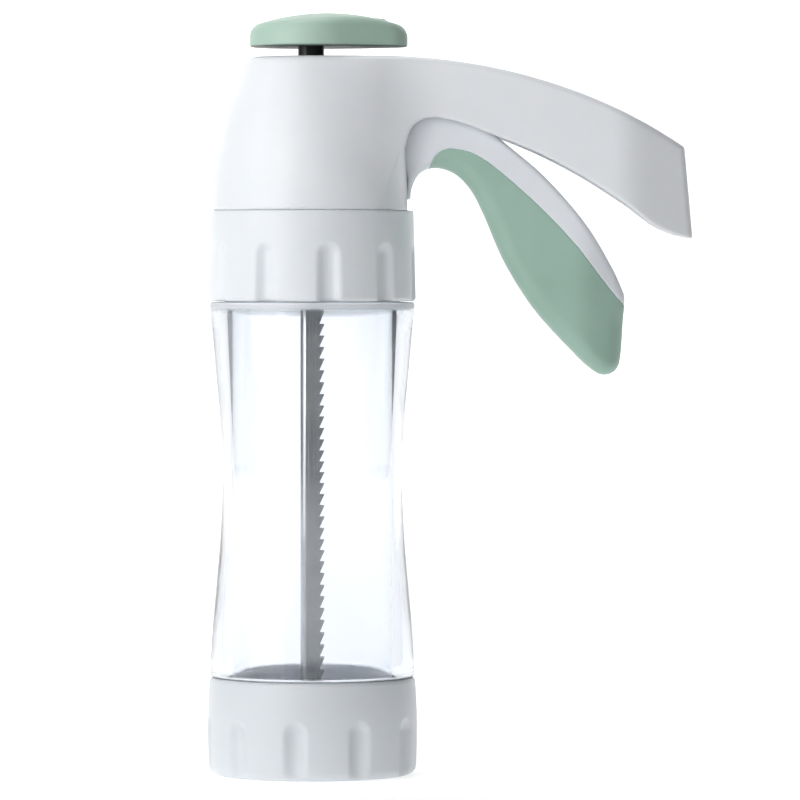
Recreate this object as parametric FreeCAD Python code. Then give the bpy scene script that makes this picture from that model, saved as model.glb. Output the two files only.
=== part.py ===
"""Hand-held cookie press: clear barrel, ratchet plunger, squeeze trigger.

Millimetres. The barrel's axis is Z, the bottom rim of the cap is the plane z = 0,
and the handle and the trigger point towards +X. Every function builds one piece.
"""

import FreeCAD, Part
import math
import os

V = FreeCAD.Vector
UP = V(0, 0, 1)
ACROSS = V(0, 1, 0)

# ---- driving dimensions: levels along the barrel's axis ----
WELL_DEPTH = 8.0           # open mouth under the shaping disc
CAP_LIP_TOP = 10.0         # the disc's flange rests here
DISC_TOP = 11.0            # the barrel's lower rim bears here
CAP_TOP = 28.3
BARREL_LOW = 28.6          # lower shoulder of the barrel
BARREL_HIGH = 137.0        # upper shoulder of the barrel
COLLAR_LOW = 137.3
BARREL_RIM = 152.0
FLANGE_LOW = 153.5
FLANGE_TOP = 156.0
COLLAR_TOP = 163.5
HEAD_LOW = 164.0
BASE_TOP = 168.0
BUSH_TOP = 206.9           # the guide bush ends below the stem
HEAD_TOP = 207.9
KNOB_LOW = 210.8
KNOB_TOP = 220.6

# ---- driving dimensions: radii and walls ----
BORE_R = 23.25             # the dough chamber
NECK_R = 25.2              # barrel necks that carry the thread
GASKET_R = 25.3            # the inner frame's flange and the gasket under it
RIDGE_R = 26.5             # crest of the barrel's thread
RING_BORE_R = 26.9         # bore of the cap and of the collar
LUG_R = 25.5               # crest of the cap's and the collar's lugs
WELL_R = 25.0
HEAD_R = 28.6              # foot of the head's dome
DOME_SIDE_R = 90.0         # radius of the dome's side, seen from the front
DOME_EDGE = 1.5            # soft edge round the dome's flat top
SHELL = 2.6                # wall of the head and of the handle
BUSH_R = 6.2               # tube of the rod's guide bush
HANDLE_HALF = 13.5         # half the handle's width
HANDLE_BEND_X = 20.0       # where the handle's back starts to fall
HANDLE_BEND_R = 160.6
CHANNEL_HALF = HANDLE_HALF - SHELL - 0.1
TRIGGER_HALF = 10.2
RUN = 0.06                 # radial clearance of a running fit

# ---- driving dimensions: thread ----
LEAD = 12.0                # three starts, 4 mm apart
STARTS = 3
RIDGE_SWEEP = 110.0
LUG_SWEEP = 40.0
RIDGE_ROOT_HALF = 1.0
RIDGE_CREST_HALF = 0.5
FLANK_GAP = 1.8            # from a ridge's middle to the middle of the lug it bears on
LOWER_RIDGE_Z = 14.0
UPPER_RIDGE_Z = 141.0
CAP_LUG_DEG = 60.0
COLLAR_LUG_DEG = 10.0
SUNK = 0.3                 # how far a ridge's root lies inside its wall

# ---- driving dimensions: cap and collar outside ----
CAP_R = 30.4
CAP_END_R = 30.0
COLLAR_FOOT_R = 29.95
COLLAR_TOP_R = 28.95
EDGE = 0.4                 # bevel on the edges of both rings
LIP_R = 23.9               # opening of the lips that hold the disc and the neck's flange

# ---- driving dimensions: finger grooves of the cap and the collar ----
GROOVES = 10
GROOVE_W = 6.0
GROOVE_DEEP = 1.6
GROOVE_H = 16.5
CAP_GROOVE_DEG = -98.6
COLLAR_GROOVE_DEG = -116.0

# ---- driving dimensions: shaping disc ----
DISC_BODY_R = 23.6
DISC_FLANGE_R = 26.6
PETALS = 6
PETAL_R = 3.2
PETAL_AT = 15.0
PETAL_NECK = 1.4
CENTRE_HOLE_R = 2.6

# ---- driving dimensions: rack rod and knob stem ----
ROD_BACK = -3.5            # outside of the fold
ROD_HALF = 2.0             # half the folded strip's thickness
STRIP = 0.9
TOOTH_PITCH = 3.4
TOOTH_ROOT = 2.0
TOOTH_TIP = 3.45
FIRST_TOOTH = 30.0
TEETH = 51
ROD_LOW = 27.2
ROD_TOP = 207.2
ROD_TURN_R = math.hypot(TOOTH_TIP, ROD_HALF)
TONGUE = (-1.5, 1.8, -1.05, 1.05)   # the block that fits inside the fold, as x and y limits
STEM_PIN_R = 1.0
STEM_PIN_AT = (-0.2, 203.0)
STEM_R = 3.0
STEM_ENDS = (-1.1, 0.4)
STEM_TOP = 214.2

# ---- driving dimensions: piston ----
SPINDLE_R = 3.0
SHOULDER_LOW = 25.6        # underside of the rod's shoulder, on top of the hub
PISTON_LOW = 11.6
PISTON_TOP = 20.0
PISTON_R = 22.9
SEAL_ROOT_R = 20.6
SEAL_LOW = 14.4
SEAL_TOP = 17.6
HUB_LOW = 15.5
WASHER_LOW = 14.6
WEBS = 6

# ---- driving dimensions: screws ----
SCREW_R = 1.45
SCREW_RING = 16.5
SCREW_DEGREES = (75.0, 145.0, -145.0, -75.0)
SCREW_SEAT = 158.0
SCREW_TIP = 180.0
SCREW_HEAD_R = 2.8

# ---- driving dimensions: knob ----
KNOB_BIG_R = 18.1
KNOB_SMALL_R = 9.6
KNOB_SMALL_X = 18.0
KNOB_CROWN_R = 66.0
KNOB_UNDER_R = 60.0
KNOB_MID_X = 4.4           # the crown's highest point

# ---- driving dimensions: trigger and pawls, as (x, z) ----
PIVOT = (24.0, 186.5)
PIVOT_R = 2.0
PIVOT_REACH = 12.4         # half the pivot pin's length, inside blind bores
ARM_HALF = 5.4             # half the width over the trigger's two inner arms
PAWL_HALF = 2.5
PAWL_PIN_R = 1.5
PAWL_SWING = 12.6          # from clear of the teeth to holding one
PAWL_PIN_X = 8.6
PIN_UNDER_TOOTH = 9.3      # a pawl's pin below the tooth face it holds
DRIVE_PIN = (PAWL_PIN_X, FIRST_TOOTH + 47 * TOOTH_PITCH - PIN_UNDER_TOOTH)
HOLD_PIN = (PAWL_PIN_X, FIRST_TOOTH + 41 * TOOTH_PITCH - PIN_UNDER_TOOTH)


# ---------------------------------------------------------------- helpers
def cylinder(radius, z_low, z_high, x=0.0, y=0.0):
    return Part.makeCylinder(radius, z_high - z_low, V(x, y, z_low), UP)


def ring(r_in, r_out, z_low, z_high):
    return cylinder(r_out, z_low, z_high).cut(cylinder(r_in, z_low - 1, z_high + 1))


def cross_cylinder(radius, centre, y_low, y_high):
    """A cylinder along Y through the point centre = (x, z)."""
    start = V(centre[0], y_low, centre[1])
    return Part.makeCylinder(radius, y_high - y_low, start, ACROSS)


def block(x_low, x_high, y_low, y_high, z_low, z_high):
    size = (x_high - x_low, y_high - y_low, z_high - z_low)
    return Part.makeBox(*size, V(x_low, y_low, z_low))


def at(point):
    """A point of the XZ plane."""
    return V(point[0], 0, point[1])


def line(a, b):
    return Part.LineSegment(at(a), at(b)).toShape()


def lines(points):
    return [line(a, b) for a, b in zip(points, points[1:])]


def arc(a, through, b):
    return Part.Arc(at(a), at(through), at(b)).toShape()


def curve(points):
    spline = Part.BSplineCurve()
    spline.interpolate([at(p) for p in points])
    return spline.toShape()


def face(edges):
    return Part.Face(Part.Wire(Part.__sortEdges__(edges)))


def prism(edges, half):
    """The outline in the XZ plane, as thick as half on each side of it."""
    flat = face(edges)
    flat.translate(V(0, -half, 0))
    return flat.extrude(V(0, 2 * half, 0))


def lathe(edges):
    return face(edges).revolve(V(0, 0, 0), UP, 360)


def turned(shape, degrees):
    copy = shape.copy()
    copy.rotate(V(0, 0, 0), UP, degrees)
    return copy


def tilted(shape, centre, degrees):
    """Turn a shape about a line along -Y, so that a positive angle lifts its +X side."""
    copy = shape.copy()
    copy.rotate(at(centre), V(0, -1, 0), degrees)
    return copy


def fuse_all(shapes):
    return shapes[0].multiFuse(shapes[1:]).removeSplitter()


def chosen_edges(shape, test):
    """The edges whose middle point passes the test."""
    chosen = []
    for edge in shape.Edges:
        middle = edge.valueAt((edge.FirstParameter + edge.LastParameter) / 2)
        if test(middle):
            chosen.append(edge)
    return chosen


def thread_ridge(root_r, crest_r, z_start, start_deg, sweep_deg):
    """One thread ridge or lug: a trapezoid carried up a right-hand helix."""
    rise = LEAD * sweep_deg / 360.0
    path = Part.Wire(Part.makeHelix(LEAD, rise, (root_r + crest_r) / 2).Edges)
    lower = [(root_r, -RIDGE_ROOT_HALF), (crest_r, -RIDGE_CREST_HALF)]
    corners = lower + [(crest_r, RIDGE_CREST_HALF), (root_r, RIDGE_ROOT_HALF)]
    section = Part.Wire(lines(corners + corners[:1]))
    ridge = path.makePipeShell([section], True, True)
    ridge.translate(V(0, 0, z_start + LEAD * start_deg / 360.0))
    return turned(ridge, start_deg)


def thread(root_r, crest_r, z_start, start_deg, sweep_deg):
    """The same ridge for each start of the thread."""
    ridge = thread_ridge(root_r, crest_r, z_start, start_deg, sweep_deg)
    return [turned(ridge, 360.0 / STARTS * n) for n in range(STARTS)]


def groove_cutters(outer_r, z_low, first_deg):
    """Finger grooves: upright round-bottomed flutes with a rounded upper end."""
    radius = (GROOVE_W ** 2 / 4 + GROOVE_DEEP ** 2) / (2 * GROOVE_DEEP)
    centre = outer_r - GROOVE_DEEP + radius
    top = z_low + GROOVE_H - GROOVE_W / 2
    flute = cylinder(radius, z_low - 5, top, centre).fuse(Part.makeSphere(radius, V(centre, 0, top)))
    return [turned(flute, first_deg + 360.0 / GROOVES * n) for n in range(GROOVES)]


# ---------------------------------------------------------------- barrel, cap, disc, collar
def barrel():
    """Clear tube: straight bore, hourglass outside, a threaded neck at each end."""
    shoulder_r = 29.3
    waist = [(29.7, BARREL_LOW + 1), (29.5, 34), (28.4, 50.6), (26.6, 70), (26.0, 88),
             (26.8, 103), (28.2, 120), (29.3, 132.5), (29.7, BARREL_HIGH - 1)]
    lower = [waist[0], (shoulder_r, BARREL_LOW), (NECK_R, BARREL_LOW), (NECK_R, DISC_TOP), (BORE_R, DISC_TOP)]
    upper = [(BORE_R, DISC_TOP), (BORE_R, BARREL_RIM), (NECK_R, BARREL_RIM), (NECK_R, BARREL_HIGH),
             (shoulder_r, BARREL_HIGH), waist[-1]]
    body = lathe([curve(waist)] + lines(lower) + lines(upper))
    ridges = thread(NECK_R - SUNK, RIDGE_R, LOWER_RIDGE_Z, 0.0, RIDGE_SWEEP)
    ridges += thread(NECK_R - SUNK, RIDGE_R, UPPER_RIDGE_Z, 0.0, RIDGE_SWEEP)
    return fuse_all([body] + ridges)


def bottom_cap():
    """Ring nut that clamps the disc; its rim stands on the table."""
    rim_r = 27.2
    bevel = (CAP_END_R, CAP_TOP - EDGE)
    foot_top = (CAP_END_R, 3.0)
    outside = [(RING_BORE_R, CAP_TOP), (CAP_END_R - EDGE, CAP_TOP), bevel]
    side = curve([bevel, (CAP_R, 13.0), foot_top])
    foot = arc(foot_top, (29.2, 0.85), (rim_r, 0.0))
    inside = [(rim_r, 0.0), (WELL_R, 0.0), (WELL_R, WELL_DEPTH), (LIP_R, WELL_DEPTH),
              (LIP_R, CAP_LIP_TOP), (RING_BORE_R, CAP_LIP_TOP), (RING_BORE_R, CAP_TOP)]
    body = lathe(lines(outside) + [side, foot] + lines(inside))
    lugs = thread(RING_BORE_R + SUNK, LUG_R, LOWER_RIDGE_Z + FLANK_GAP, CAP_LUG_DEG, LUG_SWEEP)
    body = fuse_all([body] + lugs)
    return body.cut(groove_cutters(CAP_R - 0.2, 0.0, CAP_GROOVE_DEG))


def die_disc():
    """Shaping disc: thin flange, thicker body, and a flower cut through it."""
    body = cylinder(DISC_BODY_R, WELL_DEPTH, CAP_LIP_TOP)
    body = body.fuse(cylinder(DISC_FLANGE_R, CAP_LIP_TOP, DISC_TOP))
    low = WELL_DEPTH - 1
    high = DISC_TOP + 1
    inner_at = PETAL_AT / 2
    outer = cylinder(PETAL_R, low, high, PETAL_AT)
    inner = cylinder(PETAL_NECK, low, high, inner_at)
    bridge = block(inner_at, PETAL_AT, -PETAL_NECK, PETAL_NECK, low, high)
    petal = outer.fuse([inner, bridge])
    cutters = [turned(petal, 360.0 / PETALS * n) for n in range(PETALS)]
    cutters.append(cylinder(CENTRE_HOLE_R, low, high))
    return body.cut(cutters).removeSplitter()


def upper_collar():
    """Ring nut that hangs on the head's neck and draws the barrel up to it."""
    lip_low = FLANGE_TOP + 0.3
    lip_top = lip_low + 3.0
    lip_r = LIP_R + 0.1
    bevel = 0.35
    foot = [(RING_BORE_R, COLLAR_LOW), (COLLAR_FOOT_R - bevel, COLLAR_LOW)]
    foot.append((COLLAR_FOOT_R, COLLAR_LOW + EDGE))
    head = [(COLLAR_TOP_R, COLLAR_TOP - EDGE), (COLLAR_TOP_R - bevel, COLLAR_TOP), (RING_BORE_R, COLLAR_TOP)]
    lip = [(RING_BORE_R, lip_top), (lip_r, lip_top), (lip_r, lip_low), (RING_BORE_R, lip_low)]
    profile = foot + head + lip
    body = lathe(lines(profile + profile[:1]))
    lugs = thread(RING_BORE_R + SUNK, LUG_R, UPPER_RIDGE_Z - FLANK_GAP, COLLAR_LUG_DEG, LUG_SWEEP)
    body = fuse_all([body] + lugs)
    return body.cut(groove_cutters(COLLAR_FOOT_R - 0.2, COLLAR_LOW, COLLAR_GROOVE_DEG))


# ---------------------------------------------------------------- head
def screw_places():
    for degrees in SCREW_DEGREES:
        angle = math.radians(degrees)
        yield SCREW_RING * math.cos(angle), SCREW_RING * math.sin(angle)


def dome(inset):
    """The head's bell, or its hollow when inset is the wall's thickness."""
    side_r = DOME_SIDE_R - inset
    centre = HEAD_R - DOME_SIDE_R
    top = HEAD_TOP - inset
    shoulder = top - DOME_EDGE

    def side(z):
        return centre + math.sqrt(side_r ** 2 - (z - HEAD_LOW) ** 2)

    middle = (HEAD_LOW + shoulder) / 2
    flank = arc((side(HEAD_LOW), HEAD_LOW), (side(middle), middle), (side(shoulder), shoulder))
    flat = side(shoulder) - DOME_EDGE
    crown = arc((side(shoulder), shoulder), (flat + 0.7 * DOME_EDGE, top - 0.3 * DOME_EDGE), (flat, top))
    rest = lines([(flat, top), (0, top), (0, HEAD_LOW), (side(HEAD_LOW), HEAD_LOW)])
    return lathe([flank, crown] + rest)


def handle_top(x, inset=0.0):
    """Height of the handle's back at x, on its big arc."""
    centre = HEAD_TOP - HANDLE_BEND_R
    return centre + math.sqrt((HANDLE_BEND_R - inset) ** 2 - (x - HANDLE_BEND_X) ** 2)


def handle_back(x_end, inset):
    """The long arc of the handle's back, or of the channel's ceiling."""
    start = (HANDLE_BEND_X, HEAD_TOP - inset)
    half_way = (HANDLE_BEND_X + x_end) / 2
    middle = (half_way, handle_top(half_way, inset))
    return arc(start, middle, (x_end, handle_top(x_end, inset)))


def handle_blank():
    """The handle before it is hollowed: arched back, flat cheeks, open arch over the trigger."""
    tail = (107.75, handle_top(107.75))
    toe = (110.0, 156.6)
    back = handle_back(tail[0], 0.0)
    end = line(tail, toe)
    lip = arc(toe, (109.75, 155.5), (108.6, 155.4))
    belly = curve([(108.6, 155.4), (104.1, 156.6), (98.5, 159.2), (90.0, 165.6), (77.4, 173.6),
                   (64.4, 180.3), (50.5, 185.9), (42.6, 188.9), (36.0, 190.3)])
    arch = curve([(36.0, 190.3), (32.0, 189.8), (28.6, 187.0), (26.8, 181.4)])
    cheek = lines([(26.8, 181.4), (27.5, 166.0), (12.0, 166.0), (12.0, HEAD_TOP), (HANDLE_BEND_X, HEAD_TOP)])
    blank = prism([back, end, lip, belly, arch] + cheek, HANDLE_HALF)

    def over_the_top(middle):
        outside = abs(abs(middle.y) - HANDLE_HALF) < 0.01
        level = middle.x < HANDLE_BEND_X and middle.z > HEAD_TOP - 0.1
        arched = HANDLE_BEND_X < middle.x < 100 and middle.z > 190
        return outside and (level or arched)

    def at_heel(middle):
        return middle.x > 105 and 176 < middle.z < 183
    blank = blank.makeFillet(4.5, chosen_edges(blank, over_the_top))
    return blank.makeFillet(1.0, chosen_edges(blank, at_heel))


def channel():
    """What is taken out of the handle and of the head's front for the trigger."""
    x_end = 104.6
    ceiling = handle_back(x_end, SHELL)
    ends = lines([(x_end, handle_top(x_end, SHELL)), (105.2, 179.5), (107.9, 150.0), (40.0, 150.0),
                  (40.0, 166.0), (12.0, 166.0), (12.0, HEAD_TOP - SHELL), (HANDLE_BEND_X, HEAD_TOP - SHELL)])
    return prism([ceiling] + ends, CHANNEL_HALF)


def head_housing():
    """Bell and fixed handle in one moulding, open below, with screw posts and stiffening ribs."""
    shell = dome(0.0).fuse(handle_blank()).removeSplitter()
    shell = shell.cut([dome(SHELL), channel()])
    post_r = 3.2
    post_top = 200.0
    posts = [cylinder(post_r, BASE_TOP, post_top, x, y) for x, y in screw_places()]
    rib_half = 0.8
    rib_reach = CHANNEL_HALF + 0.5
    ribs = []
    for x in (58.0, 73.0, 88.0):
        top = handle_top(x)
        ribs.append(block(x - rib_half, x + rib_half, -rib_reach, rib_reach, top - 8.0, top - 1.5))
    shell = fuse_all([shell] + posts + ribs)
    holes = [cylinder(SCREW_R, BASE_TOP - 1, SCREW_TIP + 1, x, y) for x, y in screw_places()]
    holes.append(cylinder(BUSH_R, HEAD_TOP - SHELL - 1, HEAD_TOP + 1))
    holes.append(cross_cylinder(PIVOT_R, PIVOT, -PIVOT_REACH, PIVOT_REACH))
    return shell.cut(holes)


def head_base():
    """Inner frame of the head: neck for the collar, guide for the rod, ears for the holding pawl."""
    neck_in = 20.0
    neck_out = LIP_R - 0.2
    rim_out = 25.6
    rim_low = HEAD_LOW + 0.5
    ear_in = PAWL_HALF + 0.4
    ear_out = ear_in + 2.4
    ear_r = 2.8
    floor = cylinder(GASKET_R, FLANGE_LOW, FLANGE_TOP)
    neck = ring(neck_in, neck_out, FLANGE_TOP, rim_low)
    rim = ring(neck_in, rim_out, rim_low, BASE_TOP)
    guide = cylinder(7.0, FLANGE_TOP, FLANGE_TOP + 1.0)
    posts = [cylinder(4.4, FLANGE_TOP, BASE_TOP, x, y) for x, y in screw_places()]
    ears = []
    for side in (-1, 1):
        y_low, y_high = sorted((side * ear_in, side * ear_out))
        upright = block(PAWL_PIN_X - 3.0, PAWL_PIN_X + 3.0, y_low, y_high, FLANGE_TOP, HOLD_PIN[1])
        ears.append(upright.fuse(cross_cylinder(ear_r, HOLD_PIN, y_low, y_high)))
    body = fuse_all([floor, neck, rim, guide] + posts + ears)
    holes = [cylinder(ROD_TURN_R + RUN, FLANGE_LOW - 1, FLANGE_TOP + 2)]
    holes.append(cross_cylinder(PAWL_PIN_R, HOLD_PIN, -ear_out, ear_out))
    for x, y in screw_places():
        holes.append(cylinder(SCREW_R + 0.15, FLANGE_LOW - 1, BASE_TOP + 1, x, y))
        holes.append(cylinder(SCREW_HEAD_R + 0.2, FLANGE_LOW - 1, SCREW_SEAT, x, y))
    return body.cut(holes)


def barrel_gasket():
    """Flat silicone ring between the barrel's rim and the head's flange."""
    return ring(BORE_R - 0.15, GASKET_R, BARREL_RIM, FLANGE_LOW)


def housing_screws():
    """Four pan-head screws that hold the inner frame in the bell."""
    head_low = SCREW_SEAT - 2.4
    recess_top = head_low + 1.2
    half = 0.4
    reach = 1.9
    screws = []
    for x, y in screw_places():
        head = cylinder(SCREW_HEAD_R, head_low, SCREW_SEAT, x, y)
        screw = head.fuse(cylinder(SCREW_R, SCREW_SEAT, SCREW_TIP, x, y))
        slot = block(x - half, x + half, y - reach, y + reach, head_low - 0.1, recess_top)
        cross = block(x - reach, x + reach, y - half, y + half, head_low - 0.1, recess_top)
        screws.append(screw.cut([slot, cross]).removeSplitter())
    return Part.makeCompound(screws)


def rod_bush():
    """Flanged bush that guides the rod through the top of the bell."""
    low = HEAD_TOP - 7.4
    flange_low = HEAD_TOP - 4.8
    tube = cylinder(BUSH_R, low, BUSH_TOP)
    flange = cylinder(BUSH_R + 2.4, flange_low, HEAD_TOP - SHELL)
    return fuse_all([tube, flange]).cut(cylinder(ROD_TURN_R + RUN, low - 1, HEAD_TOP + 1))


# ---------------------------------------------------------------- plunger
def plunger_rod():
    """Steel strip folded lengthwise into a U, with saw teeth along both edges."""
    fold_x = ROD_BACK + ROD_HALF
    tip_land = 0.15
    plain_top = FIRST_TOOTH - TOOTH_PITCH + 1.0
    teeth = [(fold_x, ROD_LOW), (TOOTH_ROOT, ROD_LOW), (TOOTH_ROOT, plain_top)]
    for n in range(TEETH):
        face_z = FIRST_TOOTH + n * TOOTH_PITCH
        teeth += [(TOOTH_TIP, face_z - tip_land), (TOOTH_TIP, face_z), (TOOTH_ROOT, face_z)]
    teeth += [(TOOTH_ROOT, ROD_TOP), (fold_x, ROD_TOP)]
    legs = prism(lines(teeth + teeth[:1]), ROD_HALF)
    fold = cylinder(ROD_HALF, ROD_LOW, ROD_TOP, fold_x)
    hollow_half = ROD_HALF - STRIP
    slot = block(fold_x, TOOTH_TIP + 1, -hollow_half, hollow_half, ROD_LOW - 1, ROD_TOP + 1)
    inner = cylinder(hollow_half, ROD_LOW - 1, ROD_TOP + 1, fold_x)
    body = legs.fuse(fold).removeSplitter().cut([slot, inner])
    return body.cut(cross_cylinder(STEM_PIN_R, STEM_PIN_AT, -ROD_HALF - 1, ROD_HALF + 1))


def rod_end_stub():
    """Turned end of the rod: a tongue in the fold, a shoulder, and a spindle for the piston."""
    shoulder_r = 5.4
    spindle_low = HUB_LOW - 0.1
    tongue = block(*TONGUE, ROD_LOW - 0.2, 40.0)
    shoulder = cylinder(shoulder_r, SHOULDER_LOW, ROD_LOW)
    spindle = cylinder(SPINDLE_R, spindle_low, SHOULDER_LOW)
    tapped = cylinder(SCREW_R, spindle_low - 0.4, 24.0)
    return fuse_all([tongue, shoulder, spindle]).cut(tapped)


def piston():
    """Disc that pushes the dough, with a groove for its seal and a hub for the spindle."""
    bore = SPINDLE_R + RUN
    well_r = 5.6
    hub_top = SHOULDER_LOW - 0.1
    hub_foot_r = 9.5
    hub_r = 8.0
    edge = 0.6
    underside = [(bore, HUB_LOW), (well_r, HUB_LOW), (well_r, PISTON_LOW), (PISTON_R - edge, PISTON_LOW)]
    side = [(PISTON_R, PISTON_LOW + edge), (PISTON_R, SEAL_LOW), (SEAL_ROOT_R, SEAL_LOW),
            (SEAL_ROOT_R, SEAL_TOP), (PISTON_R, SEAL_TOP), (PISTON_R, PISTON_TOP)]
    top = [(hub_foot_r, PISTON_TOP), (hub_r, hub_top), (bore, hub_top)]
    body = lathe(lines(underside + side + top + underside[:1]))
    web = block(hub_r - 0.5, SEAL_ROOT_R - 0.1, -0.8, 0.8, PISTON_TOP - 1, PISTON_TOP + 2.4)
    return fuse_all([body] + [turned(web, 360.0 / WEBS * n) for n in range(WEBS)])


def piston_seal():
    """Silicone wiper ring in the piston's groove."""
    outer = BORE_R - 0.08
    root = SEAL_ROOT_R + 0.05
    shoulder = PISTON_R - 0.1
    low = SEAL_LOW + 0.1
    high = SEAL_TOP - 0.1
    slope = 0.7
    profile = [(root, low), (shoulder, low), (outer, low + slope), (outer, high - slope), (shoulder, high),
               (root, high)]
    return lathe(lines(profile + profile[:1]))




def piston_washer():
    """Washer between the screw's head and the spindle's end."""
    return ring(SCREW_R + 0.1, 5.2, WASHER_LOW, WASHER_LOW + 0.8)


def piston_screw():
    """Pan-head screw in the spindle's end."""
    head_low = WASHER_LOW - 2.2
    body = cylinder(4.2, head_low, WASHER_LOW).fuse(cylinder(SCREW_R, WASHER_LOW, 23.8))
    half = 0.5
    reach = 2.6
    slot = block(-reach, reach, -half, half, head_low - 0.4, head_low + 1.1)
    return body.cut([slot, turned(slot, 90.0)])


def stem_blank():
    """The knob stem's upper block, which stands over the rod's end."""
    left_x, right_x = STEM_ENDS
    left = cylinder(STEM_R, ROD_TOP, STEM_TOP, left_x)
    right = cylinder(STEM_R, ROD_TOP, STEM_TOP, right_x)
    middle = block(left_x, right_x, -STEM_R, STEM_R, ROD_TOP, STEM_TOP)
    return fuse_all([left, right, middle])


def knob_stem():
    """Dark nylon stem: its tongue is pinned in the rod's fold, its head carries the knob."""
    tongue = block(*TONGUE, 196.0, ROD_TOP + 0.5)
    return fuse_all([stem_blank(), tongue]).cut(cross_cylinder(STEM_PIN_R, STEM_PIN_AT, -STEM_R, STEM_R))


def stem_pin():
    """Cross pin that holds the stem's tongue in the rod's fold."""
    return cross_cylinder(STEM_PIN_R, STEM_PIN_AT, -ROD_HALF, ROD_HALF)


def knob():
    """Egg-shaped pointer knob with a shallow crown and a small raised dot at its narrow end."""
    lean = math.acos((KNOB_BIG_R - KNOB_SMALL_R) / KNOB_SMALL_X)
    cos_lean = math.cos(lean)
    sin_lean = math.sin(lean)

    def rim(radius, centre, side):
        return V(centre + radius * cos_lean, side * radius * sin_lean, 0)

    def tangent(side):
        return Part.LineSegment(rim(KNOB_BIG_R, 0, side), rim(KNOB_SMALL_R, KNOB_SMALL_X, side)).toShape()

    def cap_arc(radius, centre, end_x, side):
        return Part.Arc(rim(radius, centre, side), V(end_x, 0, 0), rim(radius, centre, -side)).toShape()

    back = cap_arc(KNOB_BIG_R, 0, -KNOB_BIG_R, 1)
    front = cap_arc(KNOB_SMALL_R, KNOB_SMALL_X, KNOB_SMALL_X + KNOB_SMALL_R, -1)
    outline = face([tangent(-1), tangent(1), back, front])
    outline.translate(V(0, 0, KNOB_LOW))
    slab = outline.extrude(V(0, 0, KNOB_TOP + 1 - KNOB_LOW))
    body = slab.common(Part.makeSphere(KNOB_CROWN_R, V(KNOB_MID_X, 0, KNOB_TOP - KNOB_CROWN_R)))
    body = body.makeFillet(1.2, chosen_edges(body, lambda m: abs(m.z - KNOB_LOW) < 0.01))
    at_rim = chosen_edges(body, lambda m: m.z > KNOB_LOW + 3.5 and math.hypot(m.x, m.y) > 14)
    body = body.makeFillet(2.6, at_rim)
    hollow_rise = 0.9
    hollow = Part.makeSphere(KNOB_UNDER_R, V(KNOB_MID_X, 0, KNOB_LOW + hollow_rise - KNOB_UNDER_R))
    dot_top = 218.9
    dot = cylinder(1.6, dot_top - 2.0, dot_top, 19.5)
    return fuse_all([body, dot]).cut([hollow, stem_blank()])


# ---------------------------------------------------------------- trigger
def trigger_outline():
    """Side view of the whole trigger, lever and soft grip together."""
    top = curve([(55.7, 182.9), (67.3, 173.0), (78.9, 159.7), (87.0, 147.2), (90.6, 138.4)])
    end = line((90.6, 138.4), (89.2, 121.0))
    tip = arc((89.2, 121.0), (87.4, 117.0), (83.2, 116.2))
    under = curve([(83.2, 116.2), (76.0, 122.0), (64.4, 134.7), (55.7, 148.4), (49.9, 161.7),
                   (46.0, 169.3), (41.2, 174.2), (35.4, 175.9), (31.0, 174.1), (28.9, 170.2), (28.4, 166.6)])
    hidden = curve([(18.6, 191.0), (24.0, 193.6), (36.0, 194.2), (47.0, 190.0), (55.7, 182.9)])
    root = lines([(28.4, 166.6), (26.9, 166.6), (26.6, 174.0), (22.0, 178.0), (18.6, 181.0), (18.6, 191.0)])
    return [top, end, tip, under, hidden] + root


def grip_zone():
    """Everything below the line where the soft grip meets the lever."""
    parting = curve([(33.0, 173.2), (33.9, 176.4), (36.4, 180.2), (41.2, 181.4), (49.9, 178.2),
                     (64.4, 166.0), (76.0, 153.9), (84.7, 142.6), (89.9, 136.6), (93.0, 134.4)])
    return prism([parting] + lines([(93.0, 134.4), (96.0, 108.0), (60.0, 108.0), (33.0, 160.0),
                                    (33.0, 173.2)]), TRIGGER_HALF + 2)


def grip_core():
    """The lever's narrower spine, which the soft grip wraps."""
    under = curve([(84.2, 121.5), (78.0, 125.8), (67.0, 138.0), (58.8, 150.5), (53.2, 163.0),
                   (49.0, 171.0), (43.0, 177.6)])
    upper = lines([(43.0, 177.6), (43.0, 183.0), (51.5, 180.5), (66.0, 168.0), (78.0, 155.5), (86.2, 143.0),
                   (86.6, 124.0), (84.2, 121.5)])
    return prism([under] + upper, 7.4)


def trigger_blank():
    blank = prism(trigger_outline(), TRIGGER_HALF)

    def palm_side(middle):
        flat = abs(abs(middle.y) - TRIGGER_HALF) < 0.01
        return flat and middle.z < 152 and middle.x > 50
    return blank.makeFillet(3.0, chosen_edges(blank, palm_side))


def trigger_lever():
    """White lever with two inner arms that carry the driving pawl."""
    body = trigger_blank().cut(grip_zone()).fuse(grip_core())
    arm = prism(lines([(6.8, 182.7), (10.4, 178.2), (20.0, 178.4), (27.0, 176.0), (27.0, 191.0),
                       (18.6, 190.8), (6.8, 182.7)]), ARM_HALF)
    eye = cross_cylinder(2.9, DRIVE_PIN, -ARM_HALF, ARM_HALF)
    body = body.multiFuse([arm, eye]).removeSplitter()
    gap = PAWL_HALF + 0.4
    slot_end = 30.5
    foot_x = 26.0
    foot_top = 178.5
    slot = block(0.0, slot_end, -gap, gap, 160.0, 200.0)
    foot = block(foot_x, slot_end, -gap, gap, 160.0, foot_top)
    pivot_bore = cross_cylinder(PIVOT_R + RUN, PIVOT, -2 * TRIGGER_HALF, 2 * TRIGGER_HALF)
    pin_bore = cross_cylinder(PAWL_PIN_R, DRIVE_PIN, -ARM_HALF, ARM_HALF)
    return body.cut([slot.cut(foot), pivot_bore, pin_bore])


def trigger_grip():
    """Soft sage-green grip around the lever's spine."""
    return trigger_blank().common(grip_zone()).cut(grip_core())


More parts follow.
